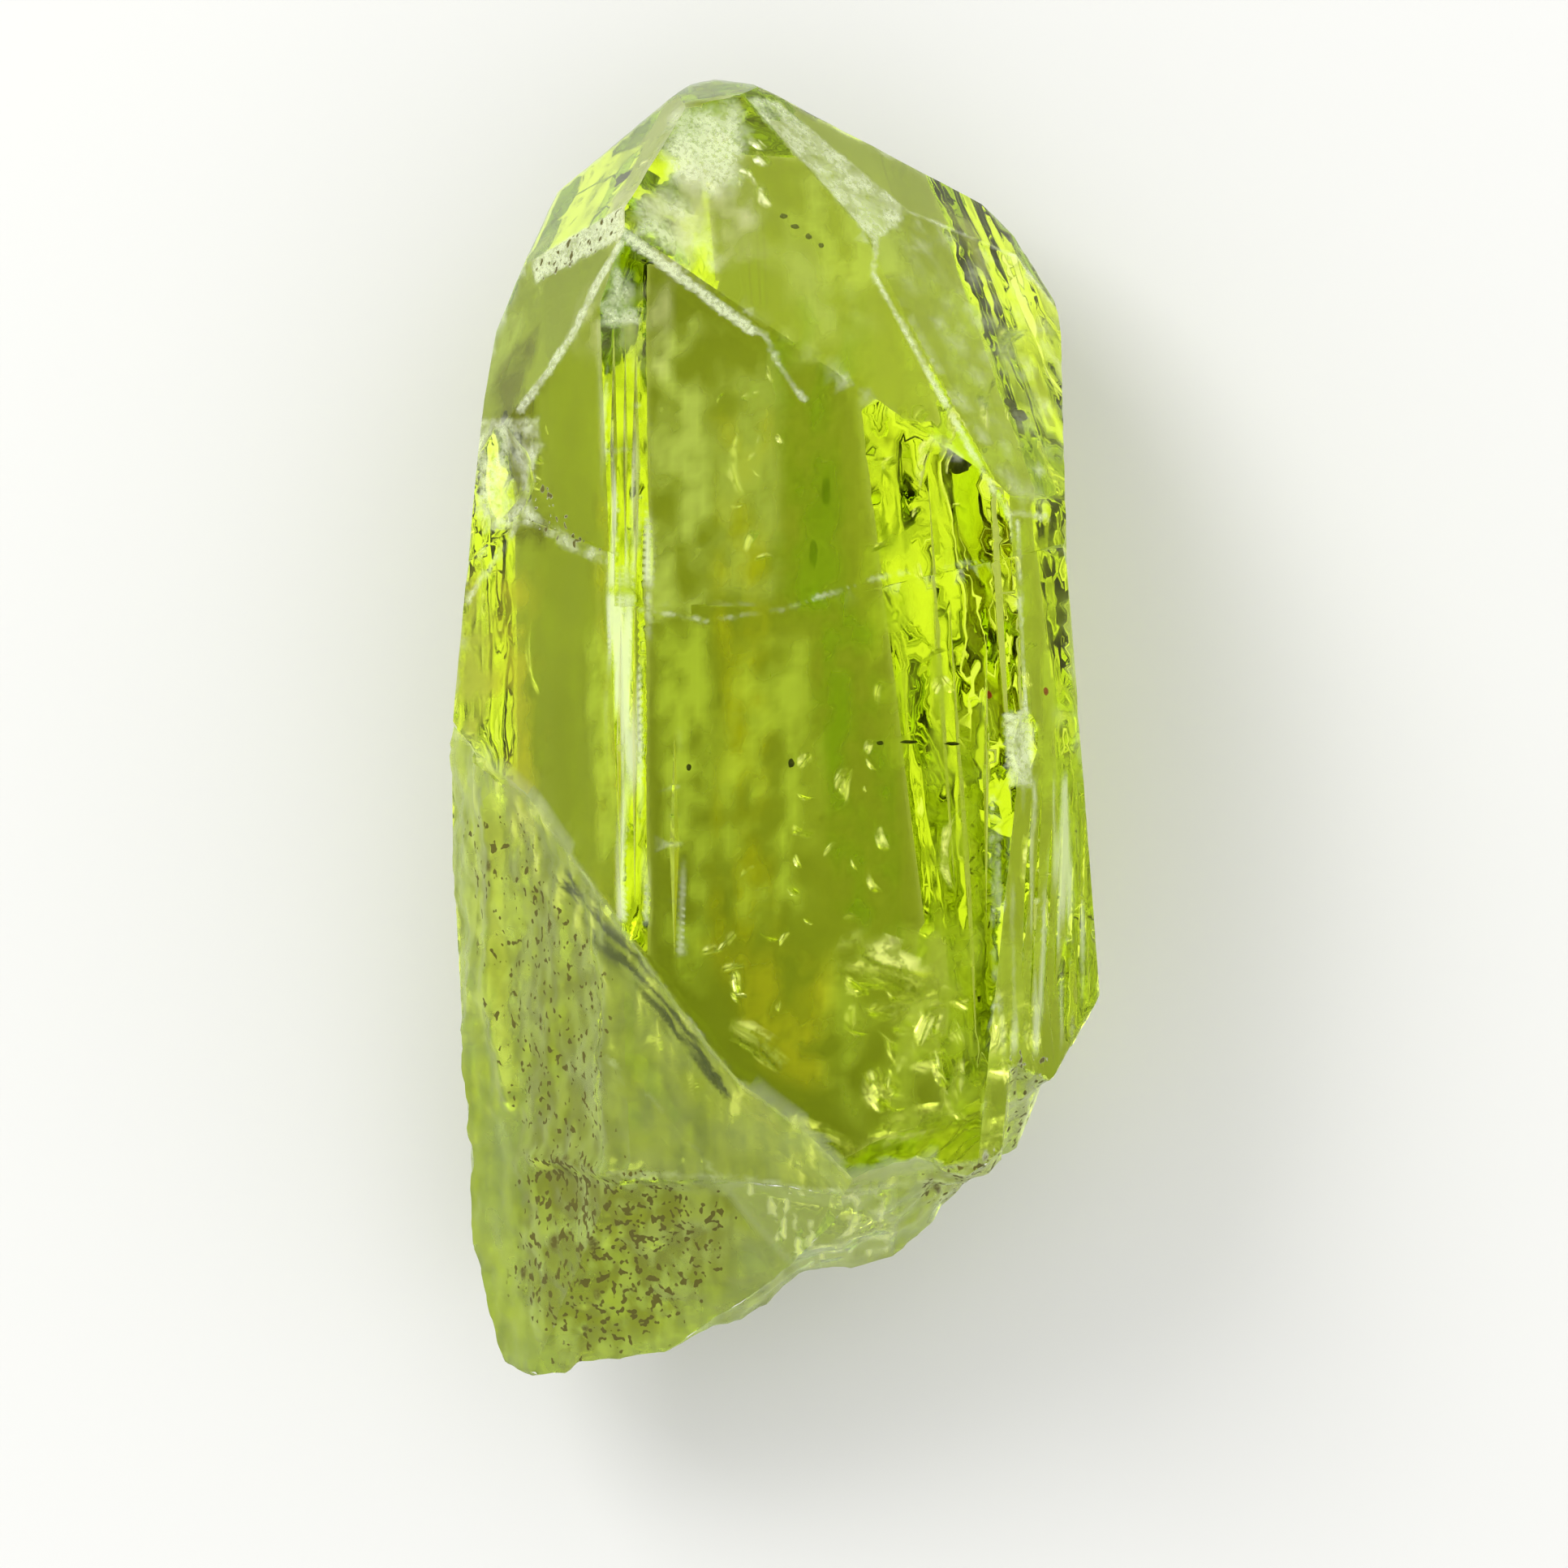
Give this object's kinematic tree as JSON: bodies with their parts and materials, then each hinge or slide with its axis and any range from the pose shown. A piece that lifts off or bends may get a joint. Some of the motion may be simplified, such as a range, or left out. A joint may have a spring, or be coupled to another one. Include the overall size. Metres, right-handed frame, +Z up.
{
  "type": "diopside crystal",
  "caption": "Loose translucent yellow-green diopside crystal: a blocky prism with a faceted tip and a stepped, broken base, lying on its flat back.",
  "frame": {"origin": "on the resting surface, under the middle of the crystal's box", "axes": "+Z up out of the resting face, +Y along the prism towards the pointed tip, +X to the right seen from above"},
  "size_m": [0.015, 0.03, 0.0105],
  "materials": {
    "diopside": "vitreous and see-through, with frosted breaks and fine growth lines"
  },
  "bodies": {
    "root": {"diopside_crystal": "diopside"}
  },
  "joints": []
}
